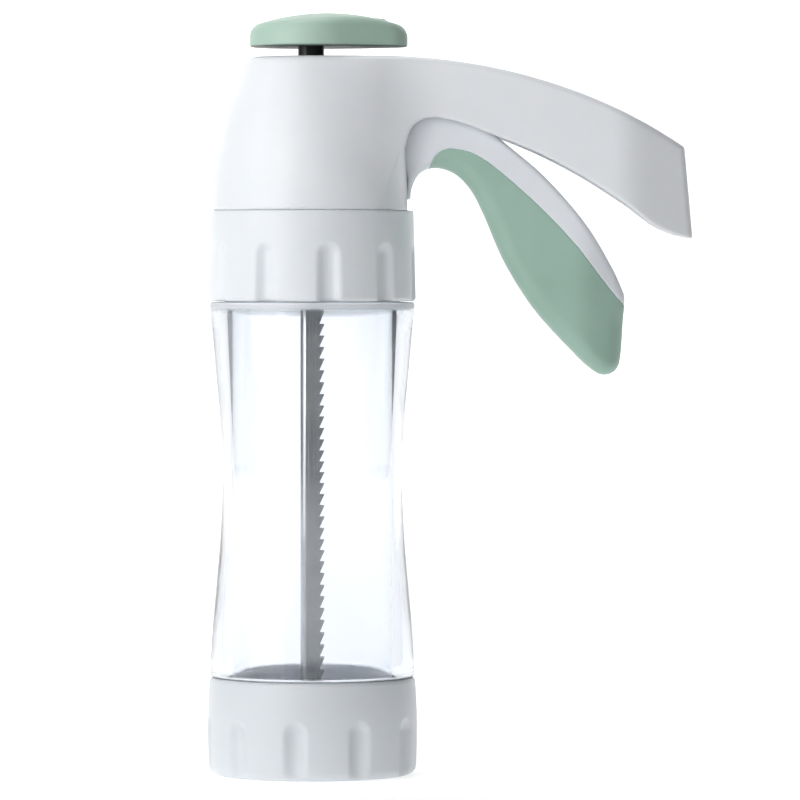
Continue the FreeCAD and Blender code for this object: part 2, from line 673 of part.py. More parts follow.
def trigger_pin():
    """Pivot of the trigger, in blind bores in the head's two cheeks."""
    return cross_cylinder(PIVOT_R, PIVOT, -PIVOT_REACH, PIVOT_REACH)


def torsion_spring(centre, mean_r, wire_r, y_low, turns, legs):
    """Coil about a pin along Y, with a straight leg at each end given by angle and length."""
    pitch = 2 * wire_r + 0.15
    path = Part.Wire(Part.makeHelix(pitch, pitch * turns, mean_r).Edges)
    section = Part.Wire(Part.makeCircle(wire_r, V(mean_r, 0, 0), V(0, 1, 0)))
    coil = path.makePipeShell([section], True, True)
    ends = [(V(mean_r, 0, 0), V(0, -1, 0))]
    angle = 2 * math.pi * turns
    ends.append((V(mean_r * math.cos(angle), mean_r * math.sin(angle), pitch * turns),
                 V(-math.sin(angle), math.cos(angle), 0)))
    rods = [Part.makeCylinder(wire_r, length, start, way) for (start, way), length in zip(ends, legs)]
    spring = coil.multiFuse(rods)
    spring.rotate(V(0, 0, 0), V(1, 0, 0), -90)
    spring.translate(V(centre[0], y_low + wire_r, centre[1]))
    return spring


def trigger_spring():
    """Return spring around the trigger's pivot, between its two arms."""
    return torsion_spring(PIVOT, mean_r=3.4, wire_r=0.5, y_low=-2.6, turns=3.75, legs=(5.0, 6.0))


def pawl(pin):
    """Hooked pawl that catches the flat top of a tooth; drawn held clear of the rod."""
    hook = [(-6.3, 9.45), (-3.6, 9.45), (-3.2, 5.5), (-2.4, 1.5), (1.4, -1.5), (2.4, 2.0),
            (0.0, 8.5), (-1.4, 12.1), (-4.0, 11.9), (-6.3, 9.65)]
    hook = [(pin[0] + x, pin[1] + z) for x, z in hook]
    blank = prism(lines(hook + hook[:1]), PAWL_HALF)
    blank = fuse_all([blank, cross_cylinder(2.7, pin, -PAWL_HALF, PAWL_HALF)])
    blank = blank.cut(cross_cylinder(PAWL_PIN_R + RUN, pin, -5, 5))
    return tilted(blank, pin, -PAWL_SWING)


def pawl_pin(centre):
    """Pin of a pawl; the spring sits on its long end."""
    return cross_cylinder(PAWL_PIN_R, centre, -5.6, 8.0)


def pawl_spring(centre):
    """Light spring that presses a pawl against the teeth."""
    return torsion_spring(centre, mean_r=2.1, wire_r=0.35, y_low=5.55, turns=2.5, legs=(4.0, 5.0))


PARTS = {
    "barrel": barrel, "bottom_cap": bottom_cap, "die_disc": die_disc, "upper_collar": upper_collar,
    "head_housing": head_housing, "head_base": head_base, "barrel_gasket": barrel_gasket,
    "housing_screws": housing_screws, "rod_bush": rod_bush,
    "plunger_rod": plunger_rod, "rod_end_stub": rod_end_stub, "piston": piston,
    "piston_seal": piston_seal, "piston_washer": piston_washer, "piston_screw": piston_screw,
    "knob_stem": knob_stem, "stem_pin": stem_pin, "knob": knob,
    "trigger_lever": trigger_lever, "trigger_grip": trigger_grip, "trigger_pin": trigger_pin,
    "trigger_spring": trigger_spring,
    "drive_pawl": lambda: pawl(DRIVE_PIN), "hold_pawl": lambda: pawl(HOLD_PIN),
    "drive_pawl_pin": lambda: pawl_pin(DRIVE_PIN), "hold_pawl_pin": lambda: pawl_pin(HOLD_PIN),
    "drive_pawl_spring": lambda: pawl_spring(DRIVE_PIN), "hold_pawl_spring": lambda: pawl_spring(HOLD_PIN),
}


def main():
    os.makedirs("parts", exist_ok=True)
    for name, make in PARTS.items():
        shape = make()
        print(f"{name:18} solids {len(shape.Solids)} valid {shape.isValid()} volume {shape.Volume:9.1f}")
        shape.exportStep(f"parts/{name}.step")


main()
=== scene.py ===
"""Looks of the cookie press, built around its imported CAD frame.

Shapes are given in millimetres, and the camera, the lights and the backdrop in metres.
"""

import math

import bpy
import numpy as np
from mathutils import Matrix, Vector


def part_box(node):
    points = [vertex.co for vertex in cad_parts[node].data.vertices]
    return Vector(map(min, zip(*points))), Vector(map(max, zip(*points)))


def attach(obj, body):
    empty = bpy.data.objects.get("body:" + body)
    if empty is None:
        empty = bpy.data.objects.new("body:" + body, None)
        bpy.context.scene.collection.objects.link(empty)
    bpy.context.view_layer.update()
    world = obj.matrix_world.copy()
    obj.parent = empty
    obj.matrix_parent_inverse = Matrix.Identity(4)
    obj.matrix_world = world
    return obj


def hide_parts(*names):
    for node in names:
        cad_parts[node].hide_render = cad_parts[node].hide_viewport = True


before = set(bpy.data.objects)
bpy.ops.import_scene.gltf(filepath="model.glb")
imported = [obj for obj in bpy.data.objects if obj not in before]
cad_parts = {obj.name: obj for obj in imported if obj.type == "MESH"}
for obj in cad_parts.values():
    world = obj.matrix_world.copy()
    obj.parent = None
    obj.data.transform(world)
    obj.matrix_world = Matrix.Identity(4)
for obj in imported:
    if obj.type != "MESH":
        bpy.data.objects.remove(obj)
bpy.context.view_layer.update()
MM = 0.001


# ---------------------------------------------------------------- camera
def make_camera():
    """Long lens looking along +Y, a little above the middle of the press and tipped down to it."""
    eye = Vector((0.0254, -1.8, 0.150))
    target = Vector((0.0254, 0.0, 0.1086))
    data = bpy.data.cameras.new("camera")
    data.lens = 279.4
    data.sensor_width = 36
    data.clip_end = 20
    camera = bpy.data.objects.new("camera", data)
    camera.location = eye
    camera.rotation_euler = (target - eye).to_track_quat("-Z", "Y").to_euler()
    bpy.context.scene.collection.objects.link(camera)
    bpy.context.scene.camera = camera


make_camera()


# ---------------------------------------------------------------- levels and radii
def box_mm(node):
    """The low and high corner of a CAD node's box."""
    low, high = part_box(node)
    return np.array(low) / MM, np.array(high) / MM


# Read from the frame.
HEAD_TOP = box_mm("head_housing")[1][2]
HEAD_R = -box_mm("head_housing")[0][0]
CAP_TOP = box_mm("bottom_cap")[1][2]
COLLAR_LOW = box_mm("upper_collar")[0][2]
COLLAR_TOP = box_mm("upper_collar")[1][2]
KNOB_LOW = box_mm("knob")[0][2]
KNOB_TOP = box_mm("knob")[1][2]
DISC_TOP = box_mm("die_disc")[1][2]
BARREL_RIM = box_mm("barrel")[1][2]
TRIGGER_HALF = box_mm("trigger_lever")[1][1]
PIVOT = (box_mm("trigger_pin")[0] + box_mm("trigger_pin")[1]) / 2
DRIVE_PIN = (box_mm("drive_pawl_pin")[0] + box_mm("drive_pawl_pin")[1]) / 2
# Not the side of any box: the barrel's bore and neck, the rings' bores, the wall of the mouldings.
BORE_R = 23.25
NECK_R = 25.2
RING_BORE_R = 26.9
SHELL = 2.6


# ---------------------------------------------------------------- distance functions
def round_cut(a, b, radius):
    """Intersection of two solids, its outer edge rounded to that radius."""
    reach = np.hypot(np.maximum(a + radius, 0), np.maximum(b + radius, 0))
    return np.minimum(np.maximum(a, b), -radius) + reach


def round_join(a, b, radius):
    """Union of two solids, its inner corner filled to that radius."""
    reach = np.hypot(np.maximum(radius - a, 0), np.maximum(radius - b, 0))
    return np.maximum(np.minimum(a, b), radius) - reach


def soft_join(a, b, reach):
    """Union of two solids with a long smooth blend, as between two moulded forms."""
    near = np.maximum(reach - np.abs(a - b), 0) / reach
    return np.minimum(a, b) - near ** 3 * reach / 6


def ease(value, low, high):
    """A smooth step from 0 at the low value to 1 at the high one."""
    t = np.clip((value - low) / (high - low), 0, 1)
    return t * t * (3 - 2 * t)


def narrowing(x, start, span, slope):
    """How far a side turns inwards: nothing at the start, then bending to a steady slope."""
    t = np.clip((x - start) / span, 0, None)
    bend = np.minimum(t, 1)
    return slope * span * (bend ** 3 - bend ** 4 / 2 + np.maximum(t - 1, 0))


def smooth_run(points, per_span=9):
    """Points along a smooth curve through a few given ones."""
    p = np.array(points, float)
    if len(p) == 2:
        return p
    p = np.vstack([2 * p[0] - p[1], p, 2 * p[-1] - p[-2]])
    out = []
    for a, b, c, d in zip(p, p[1:], p[2:], p[3:]):
        for t in np.arange(per_span) / per_span:
            out.append(0.5 * (2 * b + (c - a) * t + (2 * a - 5 * b + 4 * c - d) * t ** 2
                              + (3 * b - a - 3 * c + d) * t ** 3))
    return np.array(out + [p[-2]])


def closed_outline(*runs):
    """One closed outline from smooth runs that meet end to end."""
    return np.vstack([smooth_run(run)[:-1] for run in runs])


def outline_distance(outline, x, z):
    """Signed distance from points to a closed outline, negative inside."""
    x, z = np.broadcast_arrays(x, z)
    shape = x.shape
    flat_x, flat_z = x.ravel(), z.ravel()
    nearest = np.full(flat_x.shape, 1e9)
    inside = np.zeros(flat_x.shape, bool)
    for (ax, az), (bx, bz) in zip(outline, np.roll(outline, -1, axis=0)):
        ex, ez = bx - ax, bz - az
        wx, wz = flat_x - ax, flat_z - az
        t = np.clip((wx * ex + wz * ez) / max(ex * ex + ez * ez, 1e-12), 0, 1)
        nearest = np.minimum(nearest, (wx - t * ex) ** 2 + (wz - t * ez) ** 2)
        spans = (az <= flat_z) != (bz <= flat_z)
        if abs(ez) > 1e-12:
            inside ^= spans & (flat_x < ax + (flat_z - az) * ex / ez)
    nearest = np.sqrt(nearest)
    return np.where(inside, -nearest, nearest).reshape(shape)


def slab(value, low, high):
    """The layer between two parallel planes."""
    return np.maximum(low - value, value - high)


def from_pin(pin, x, z):
    """How far points lie from a cross pin's axis."""
    return np.hypot(x - pin[0], z - pin[2])


# ---------------------------------------------------------------- meshing
def grid_surface(distance, low, high, step):
    """Quads on the zero level of a distance function, one vertex in each crossed cell."""
    axes = [np.arange(l - 1.5 * step, h + 2.5 * step, step) for l, h in zip(low, high)]
    gx, gy, gz = np.meshgrid(*axes, indexing="ij", sparse=True)
    field = np.broadcast_to(distance(gx, gy, gz), tuple(len(a) for a in axes)).astype(np.float64)
    solid = field < 0
    counts = np.zeros(tuple(n - 1 for n in field.shape), np.int8)
    total = np.zeros(counts.shape + (3,))
    crossings = np.zeros(counts.shape)
    corners = [(i, j, k) for i in (0, 1) for j in (0, 1) for k in (0, 1)]

    def part(array, i, j, k):
        nx, ny, nz = (n - 1 for n in field.shape)
        return array[i:i + nx, j:j + ny, k:k + nz]
    for corner in corners:
        counts += part(solid, *corner)
        for axis in range(3):
            if corner[axis]:
                continue
            other = list(corner)
            other[axis] = 1
            a, b = part(field, *corner), part(field, *other)
            crossed = (a < 0) != (b < 0)
            t = np.where(crossed, a / np.where(crossed, a - b, 1), 0)
            for n in range(3):
                place = t if n == axis else corner[n]
                total[..., n] += np.where(crossed, place, 0)
            crossings += crossed
    active = (counts > 0) & (counts < 8)
    index = np.full(active.shape, -1)
    index[active] = np.arange(active.sum())
    cells = np.argwhere(active)
    places = cells + total[active] / crossings[active][:, None]
    vertices = np.array([a[0] for a in axes]) + places * step
    quads = []
    for axis in range(3):
        u, v = (axis + 1) % 3, (axis + 2) % 3
        lower = [slice(1, -1)] * 3
        upper = [slice(1, -1)] * 3
        lower[axis] = slice(0, -1)
        upper[axis] = slice(1, None)
        a, b = solid[tuple(lower)], solid[tuple(upper)]
        edges = np.argwhere(a != b)
        leaving = a[tuple(edges.T)]
        base = edges + 1
        base[:, axis] -= 1
        ring = []
        for du, dv in ((1, 1), (0, 1), (0, 0), (1, 0)):
            cell = base.copy()
            cell[:, u] -= du
            cell[:, v] -= dv
            ring.append(index[tuple(cell.T)])
        faces = np.stack(ring, axis=1)
        faces[~leaving] = faces[~leaving][:, ::-1]
        quads.append(faces)
    return vertices, np.vstack(quads)


def settle(distance, vertices, step, rounds=4):
    """Move the vertices on to the surface, along the distance's slope."""
    h = 0.02
    for _ in range(rounds):
        x, y, z = vertices.T
        value = distance(x, y, z)
        slope = np.stack([(distance(x + h, y, z) - distance(x - h, y, z)),
                          (distance(x, y + h, z) - distance(x, y - h, z)),
                          (distance(x, y, z + h) - distance(x, y, z - h))], axis=1) / (2 * h)
        size = np.maximum((slope ** 2).sum(1), 0.25)
        move = -(value / size)[:, None] * slope
        length = np.linalg.norm(move, axis=1)
        move *= np.minimum(1, 0.5 * step / np.maximum(length, 1e-9))[:, None]
        vertices = vertices + move
    return vertices


def mesh_object(name, vertices_mm, faces):
    """A smooth-shaded mesh, linked into the scene."""
    mesh = bpy.data.meshes.new(name)
    mesh.from_pydata((np.asarray(vertices_mm) * MM).tolist(), [], np.asarray(faces).tolist())
    mesh.validate()
    mesh.update()
    mesh.shade_smooth()
    piece = bpy.data.objects.new(name, mesh)
    bpy.context.scene.collection.objects.link(piece)
    return piece


def skin(name, distance, low, high, step):
    vertices, quads = grid_surface(distance, low, high, step)
    vertices = settle(distance, vertices, step)
    return mesh_object(name, vertices, quads)


def lathe(name, profile, segments):
    """A closed (radius, height) profile turned about the barrel's axis."""
    profile = np.array(profile, float)
    angles = 2 * math.pi * np.arange(segments) / segments
    rings = np.stack([np.outer(profile[:, 0], np.cos(angles)),
                      np.outer(profile[:, 0], np.sin(angles)),
                      np.repeat(profile[:, 1:], segments, axis=1)], axis=2)
    n = len(profile)
    index = np.arange(n * segments).reshape(n, segments)
    below, above = index, np.roll(index, -1, axis=0)
    quads = np.stack([below, np.roll(below, -1, 1), np.roll(above, -1, 1), above], axis=2)
    return mesh_object(name, rings.reshape(-1, 3), quads.reshape(-1, 4))


def dress(piece, body, slot, material, *nodes):
    """Everything that each new piece needs: its material, body and the nodes it stands for. The slot
    argument is not used.
    """
    piece.data.materials.clear()
    piece.data.materials.append(material)
    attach(piece, body)
    if nodes:
        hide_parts(*nodes)
    return piece


# ---------------------------------------------------------------- materials
IN_MM = (1000, 1000, 1000)


def linear(red, green, blue):
    """A colour given in display values, 0 to 255."""
    values = [c / 255 for c in (red, green, blue)]
    return tuple(v / 12.92 if v <= 0.04045 else ((v + 0.055) / 1.055) ** 2.4 for v in values)


class Nodes:
    """A short way to write a material's nodes. Coordinates are the object's own."""

    def __init__(self, name):
        self.material = bpy.data.materials.new(name)
        self.material.use_nodes = True
        self.tree = self.material.node_tree
        self.shader = self.tree.nodes["Principled BSDF"]
        self.output = self.tree.nodes["Material Output"]

    def add(self, kind, **values):
        node = self.tree.nodes.new(kind)
        for key, value in values.items():
            if key in node.inputs:
                node.inputs[key].default_value = value
            else:
                setattr(node, key, value)
        return node

    def link(self, source, target):
        self.tree.links.new(source, target)

    def coordinates(self, scale=IN_MM):
        """Coordinates in millimetres, or stretched."""
        place = self.add("ShaderNodeTexCoord")
        mapping = self.add("ShaderNodeMapping", Scale=scale)
        self.link(place.outputs["Object"], mapping.inputs["Vector"])
        return mapping.outputs["Vector"]

    def along(self, axis, scale=IN_MM):
        """One of the coordinates, X, Y or Z."""
        place = self.add("ShaderNodeSeparateXYZ")
        self.link(self.coordinates(scale), place.inputs[0])
        return place.outputs[axis]

    def noise(self, vector, scale, detail=3.0, roughness=0.55):
        node = self.add("ShaderNodeTexNoise", Scale=scale, Detail=detail, Roughness=roughness)
        self.link(vector, node.inputs["Vector"])
        return node.outputs["Fac"]

    def spread(self, value, low, high, from_low=0.3, from_high=0.7):
        """A value stretched to a new range, by default from the middle of a noise's range."""
        node = self.add("ShaderNodeMapRange")
        node.inputs["From Min"].default_value = from_low
        node.inputs["From Max"].default_value = from_high
        node.inputs["To Min"].default_value = low
        node.inputs["To Max"].default_value = high
        self.link(value, node.inputs["Value"])
        return node.outputs["Result"]

    def tint(self, value, first, second):
        """A mix of two colours; the first may be another node's output."""
        node = self.add("ShaderNodeMix", data_type="RGBA")
        if isinstance(first, tuple):
            node.inputs[6].default_value = (*first, 1)
        else:
            self.link(first, node.inputs[6])
        node.inputs[7].default_value = (*second, 1)
        self.link(value, node.inputs[0])
        return node.outputs[2]

    def bump(self, height, strength, distance_mm, normal=None):
        node = self.add("ShaderNodeBump", Strength=strength, Distance=distance_mm * MM)
        self.link(height, node.inputs["Height"])
        if normal is not None:
            self.link(normal, node.inputs["Normal"])
        return node.outputs["Normal"]

    def set(self, **values):
        for key, value in values.items():
            self.shader.inputs[key.replace("_", " ")].default_value = value


def moulded_plastic(name, colour, shade, roughness, grain=0.25, painted_shades=()):
    """Injection-moulded plastic: faint flow clouds, fine spark-eroded grain, handling scuffs, and painted
    shade in the given zones.
    """
    n = Nodes(name)
    vector = n.coordinates()
    clouds = n.noise(vector, 0.035, 4.0)
    base = n.tint(n.spread(clouds, 0, 1), linear(*colour), linear(*shade))
    # Painted shade: each zone mixes the base colour towards a darker or cooler tone where shade falls.
    for shade_mask, painted_shade_colour in painted_shades:
        base = n.tint(shade_mask(n), base, linear(*painted_shade_colour))
    n.link(base, n.shader.inputs["Base Color"])
    fine = n.noise(vector, 2.6, 5.0, 0.6)
    scuffs = n.noise(n.coordinates((900, 260, 700)), 0.11, 6.0, 0.7)
    rough = n.add("ShaderNodeMath", operation="ADD")
    n.link(n.spread(scuffs, roughness - 0.05, roughness + 0.07), rough.inputs[0])
    n.link(n.spread(fine, -0.03, 0.03), rough.inputs[1])
    n.link(rough.outputs[0], n.shader.inputs["Roughness"])
    waviness = n.bump(clouds, 0.25, 0.25)
    n.link(n.bump(fine, grain, 0.02, waviness), n.shader.inputs["Normal"])
    n.set(IOR=1.5, Specular_IOR_Level=0.5, Subsurface_Weight=0.06, Subsurface_Scale=0.002)
    return n.material


def soft_rubber(name, colour, shade):
    """Soft-touch grip: velvety, with a fine stipple and slightly polished patches."""
    n = Nodes(name)
    vector = n.coordinates()
    clouds = n.noise(vector, 0.05, 5.0)
    base = n.tint(n.spread(clouds, 0, 1), linear(*colour), linear(*shade))
    n.link(base, n.shader.inputs["Base Color"])
    stipple = n.add("ShaderNodeTexVoronoi", Scale=1.9)
    n.link(vector, stipple.inputs["Vector"])
    rubbed = n.noise(vector, 0.09, 3.0)
    n.link(n.spread(rubbed, 0.42, 0.6), n.shader.inputs["Roughness"])
    waviness = n.bump(clouds, 0.2, 0.2)
    n.link(n.bump(stipple.outputs["Distance"], 0.18, 0.06, waviness), n.shader.inputs["Normal"])
    n.set(IOR=1.48, Sheen_Weight=0.12, Sheen_Roughness=0.5)
    return n.material


DRAWN_ALONG_Z = (2600, 2600, 26)
DRAWN_ALONG_Y = (2600, 26, 2600)
TUMBLED = (900, 900, 900)


def steel(name, colour, roughness, stretch, streak=0.35):
    """Stainless steel with drawing marks along one axis, or tumbled, and a few stains."""
    n = Nodes(name)
    marks = n.noise(n.coordinates(stretch), 1.0, 6.0, 0.65)
    stains = n.noise(n.coordinates(), 0.06, 4.0)
    clean = linear(*colour)
    stained = tuple(c * 0.8 for c in clean)
    n.link(n.tint(n.spread(stains, 0, 1), clean, stained), n.shader.inputs["Base Color"])
    n.link(n.spread(marks, roughness - 0.08, roughness + 0.1), n.shader.inputs["Roughness"])
    n.link(n.bump(marks, streak, 0.01), n.shader.inputs["Normal"])
    n.set(Metallic=1.0)
    return n.material


MATT_BELOW = (28.8, 29.4)
MATT_ABOVE = (134.6, 135.6)
MATT_ROUGHNESS = 0.4
CLEAR_TINT = (0.955, 0.97, 0.995)
MATT_TINT = (0.93, 0.955, 0.985)
DEPTH_TINT = (0.5, 0.58, 0.68, 1)
DEPTH_DENSITY = 20


def clear_plastic(name):
    """Clear thick acrylic: cool tint that grows with depth, moulding waves, matt at both ends."""
    n = Nodes(name)
    waves = n.noise(n.coordinates((1000, 1000, 300)), 0.06, 2.0)
    smears = n.spread(n.noise(n.coordinates(), 0.3, 5.0), 0.0, 0.03)
    height = n.along("Z")
    ends = n.add("ShaderNodeMath", operation="MAXIMUM")
    n.link(n.spread(height, 1.0, 0.0, *MATT_BELOW), ends.inputs[0])
    n.link(n.spread(height, 0.0, 1.0, *MATT_ABOVE), ends.inputs[1])
    rough = n.add("ShaderNodeMath", operation="MULTIPLY_ADD")
    rough.inputs[1].default_value = MATT_ROUGHNESS
    n.link(ends.outputs[0], rough.inputs[0])
    n.link(smears, rough.inputs[2])
    n.link(rough.outputs[0], n.shader.inputs["Roughness"])
    n.link(n.tint(ends.outputs[0], CLEAR_TINT, MATT_TINT), n.shader.inputs["Base Color"])
    n.link(n.spread(ends.outputs[0], 1.0, 0.5, 0.0, 1.0), n.shader.inputs["Transmission Weight"])
    n.link(n.bump(waves, 0.12, 0.3), n.shader.inputs["Normal"])
    n.set(IOR=1.49)
    depth = n.add("ShaderNodeVolumeAbsorption", Color=DEPTH_TINT, Density=DEPTH_DENSITY)
    n.link(depth.outputs[0], n.output.inputs["Volume"])
    return n.material


def below(level, blend):
    """Mask for painted shade: the part of a piece under a level, in millimetres."""
    def shade_mask(n):
        return n.spread(n.along("Z"), 1.0, 0.0, level - blend, level + blend)
    return shade_mask


def inside(radius, blend):
    """Mask for painted shade: the part of a piece within a radius of the barrel's axis."""
    def shade_mask(n):
        length = n.add("ShaderNodeVectorMath", operation="LENGTH")
        n.link(n.coordinates((1000, 1000, 0)), length.inputs[0])
        return n.spread(length.outputs["Value"], 1.0, 0.0, radius - blend, radius + blend)
    return shade_mask


# Painted shade: the rings darker towards the bottom, so the cap darker than the collar, and a cooler
# blue-grey in their bores; the knob's underside painted dark as shade.
RING_PAINTED_SHADE = [(below(70, 30), (209, 213, 217)), (inside(27.4, 0.3), (222, 230, 240))]
# Painted shade under the knob's rim, where the gap over the head lies in shade.
KNOB_PAINTED_SHADE = [(below(211.15, 0.25), (84, 98, 90))]
shell_white = moulded_plastic("shell_white", (238, 240, 243), (233, 236, 239), 0.34)
ring_white = moulded_plastic("ring_white", (233, 236, 239), (228, 232, 236), 0.36, painted_shades=RING_PAINTED_SHADE)
lever_white = moulded_plastic("lever_white", (234, 237, 241), (229, 232, 237), 0.36)
frame_grey = moulded_plastic("frame_grey", (222, 224, 226), (214, 216, 219), 0.5, 0.4)
disc_white = moulded_plastic("disc_white_plastic", (238, 240, 243), (232, 235, 239), 0.4)
piston_white = moulded_plastic("piston_plastic", (230, 234, 238), (222, 228, 233), 0.45)
bush_plastic = moulded_plastic("bush_plastic", (206, 208, 210), (198, 200, 203), 0.38)
# Near-black stem: its black is painted shade for the dark gap between the knob and the head.
stem_shade_black = moulded_plastic("stem_shade_black", (48, 50, 50), (38, 40, 40), 0.3)
knob_sage = moulded_plastic("knob_sage", (178, 204, 190), (170, 198, 183), 0.42, painted_shades=KNOB_PAINTED_SHADE)
grip_sage = soft_rubber("grip_sage", (162, 192, 178), (154, 186, 171))
silicone = soft_rubber("silicone_clear", (214, 216, 214), (204, 207, 206))
rod_steel = steel("rod_stainless", (206, 206, 204), 0.2, DRAWN_ALONG_Z, 0.2)
pin_steel = steel("pin_stainless", (188, 188, 190), 0.3, DRAWN_ALONG_Y)
spring_wire = steel("spring_wire", (190, 190, 194), 0.22, TUMBLED)
pawl_steel = steel("pawl_steel_tumbled", (160, 160, 164), 0.4, TUMBLED)
barrel_clear = clear_plastic("barrel_clear")


# ---------------------------------------------------------------- clear barrel
RING_GAP = 0.3
END_R = 29.65
BEAD_R = 0.65
BEAD_HIGH = 1.3
NECK_EDGE = 0.3
NECK_FILLET = 0.4
HOURGLASS = [(29.55, 33.5), (28.9, 44), (27.7, 57.5), (26.6, 71), (26.0, 88), (26.7, 103), (27.8, 115),
             (28.8, 126), (29.5, 133)]


def bead(z_from):
    """Half a turn of (radius, height) points round the outside of a beaded end."""
    mid_z = z_from + BEAD_HIGH / 2
    angles = np.linspace(-math.pi / 2, math.pi / 2, 9)
    return [(END_R - BEAD_R + BEAD_R * math.cos(a), mid_z + BEAD_HIGH / 2 * math.sin(a)) for a in angles]


def barrel_profile():
    """Straight bore, hourglass outside with beaded ends, plain necks inside the rings."""
    low, high = CAP_TOP + RING_GAP, COLLAR_LOW - RING_GAP
    outside = smooth_run([(END_R, low + 1.2)] + HOURGLASS + [(END_R, high - 1.2)], 10)
    lower_neck = [(BORE_R, DISC_TOP), (BORE_R + 0.2, DISC_TOP), (NECK_R - NECK_EDGE, DISC_TOP),
                  (NECK_R, DISC_TOP + NECK_EDGE), (NECK_R, low - NECK_FILLET), (NECK_R + NECK_FILLET, low)]
    upper_neck = [(NECK_R + NECK_FILLET, high), (NECK_R, high + NECK_FILLET),
                  (NECK_R, BARREL_RIM - NECK_EDGE), (NECK_R - NECK_EDGE, BARREL_RIM),
                  (BORE_R + NECK_EDGE, BARREL_RIM), (BORE_R, BARREL_RIM - NECK_EDGE)]
    bore = [(BORE_R, z) for z in np.linspace(BARREL_RIM - 4, DISC_TOP + 4, 40)]
    lower_bead = bead(low)[:5]
    upper_bead = bead(high - BEAD_HIGH)[4:]
    return lower_neck + lower_bead + list(map(tuple, outside[1:-1])) + upper_bead + upper_neck + bore


def make_barrel():
    piece = lathe("barrel_tube", barrel_profile(), 288)
    dress(piece, "barrel", "clear_barrel", barrel_clear, "barrel")


# ---------------------------------------------------------------- grooved rings
FLUTES = 10
FLUTE_DEPTH, FLUTE_WIDTH, FLUTE_HIGH = 1.6, 6.0, 16.5
FLUTE_EDGE = 0.9
LUG_IN_R, LUG_OUT_R = 25.5, 27.2
LUG_MID_R = 26
LUG_SWEEP = 40.0
SCREW_LEAD = 12.0
CAP_R = 30.4
CAP_WIDEST_Z = 13.0
COLLAR_R = 30.0
COLLAR_TAPER = 0.65


def groove_distance(x, y, z, outer_r, low, first_deg):
    """Distance to the nearest of the upright flutes."""
    pitch = 2 * math.pi / FLUTES
    radius = (FLUTE_WIDTH ** 2 / 4 + FLUTE_DEPTH ** 2) / (2 * FLUTE_DEPTH)
    angle = np.arctan2(y, x) - math.radians(first_deg)
    angle = angle - pitch * np.round(angle / pitch)
    r = np.hypot(x, y)
    out = r * np.cos(angle) - (outer_r - FLUTE_DEPTH + radius)
    side = r * np.sin(angle)
    over = np.maximum(z - (low + FLUTE_HIGH - FLUTE_WIDTH / 2), 0)
    return np.sqrt(out ** 2 + side ** 2 + over ** 2) - radius


def lug_distance(x, y, z, z_start, start_deg):
    """Three short helical lugs inside a ring."""
    r = np.hypot(x, y)
    third = 2 * math.pi / 3
    middle = math.radians(start_deg + LUG_SWEEP / 2)
    angle = np.arctan2(y, x) - middle
    angle = angle - third * np.round(angle / third)
    centre = z_start + SCREW_LEAD * (angle + middle) / (2 * math.pi)
    flank = np.abs(z - centre) - 0.5 - 0.36 * (r - LUG_IN_R)
    ends = (np.abs(angle) - math.radians(LUG_SWEEP / 2)) * LUG_MID_R
    return np.maximum(np.maximum(flank, LUG_IN_R - r), np.maximum(ends, r - LUG_OUT_R))


def cap_distance(x, y, z):
    """The bottom ring: barrelled side, flutes, a well for the disc and the threaded bore over it."""
    r = np.hypot(x, y)
    side = r - (CAP_R - 0.4 * ((z - CAP_WIDEST_Z) / 12.0) ** 2)
    body = round_cut(side, -z, 2.8)
    body = round_cut(body, z - CAP_TOP, 1.1)
    body = round_cut(body, -groove_distance(x, y, z, CAP_R - 0.2, 0.0, -98.6), FLUTE_EDGE)
    well = np.maximum(r - 25.0, z - 8.0)
    lip = np.maximum(r - 23.9, z - 12.0)
    bore = np.maximum(r - RING_BORE_R, 10.0 - z)
    hollow = np.minimum(np.minimum(well, lip), bore)
    body = round_cut(body, -hollow, 0.3)
    return np.minimum(body, lug_distance(x, y, z, 15.8, 60.0))


def collar_distance(x, y, z):
    """The ring under the head: tapered side, flutes, threaded bore, and a web that holds the neck."""
    r = np.hypot(x, y)
    taper = (z - COLLAR_LOW) / (COLLAR_TOP - COLLAR_LOW)
    side = r - (COLLAR_R - COLLAR_TAPER * taper)
    body = round_cut(side, COLLAR_LOW - z, 1.0)
    body = round_cut(body, z - COLLAR_TOP, 0.15)
    body = round_cut(body, -groove_distance(x, y, z, COLLAR_R - 0.25, COLLAR_LOW, -116.0), FLUTE_EDGE)
    bore = np.maximum(r - RING_BORE_R, slab(z, 130.0, 156.3))
    upper = np.maximum(r - RING_BORE_R, slab(z, 159.3, 170.0))
    hollow = np.minimum(np.minimum(bore, upper), r - 24.0)
    body = round_cut(body, -hollow, 0.3)
    return np.minimum(body, lug_distance(x, y, z, 139.2, 10.0))


def make_rings():
    cap = skin("cap_ring", cap_distance, (-30.5, -30.5, 0), (30.5, 30.5, CAP_TOP), 0.5)
    dress(cap, "cap", "white_ring", ring_white, "bottom_cap")
    collar = skin("collar_ring", collar_distance, (-30, -30, COLLAR_LOW), (30, 30, COLLAR_TOP), 0.5)
    dress(collar, "collar", "white_ring", ring_white, "upper_collar")


# ---------------------------------------------------------------- head and handle
HEAD_LOW = 164.0
HEAD_FOOT = 163.56
DOME_SIDE_R = 97.0
DOME_OUT = 0.3
HANDLE_HALF = 13.5
HANDLE_NARROWS = (85.0, 14.0, 0.55)
CHANNEL_HALF = 10.8
BEND_X = 20.0
BEND_R = 160.6
BEND_Z = HEAD_TOP - BEND_R
CREASE_TOP, CREASE_FOOT = (26.1, 182.6), (20.6, 166.0)
SCREW_CIRCLE_R = 16.5
SCREW_ANGLES = (75, 145, -145, -75)
POST_R, POST_HOLE_R = 3.2, 1.45
RIBS_X = (58.0, 73.0, 88.0)
RIB_HALF = 0.8


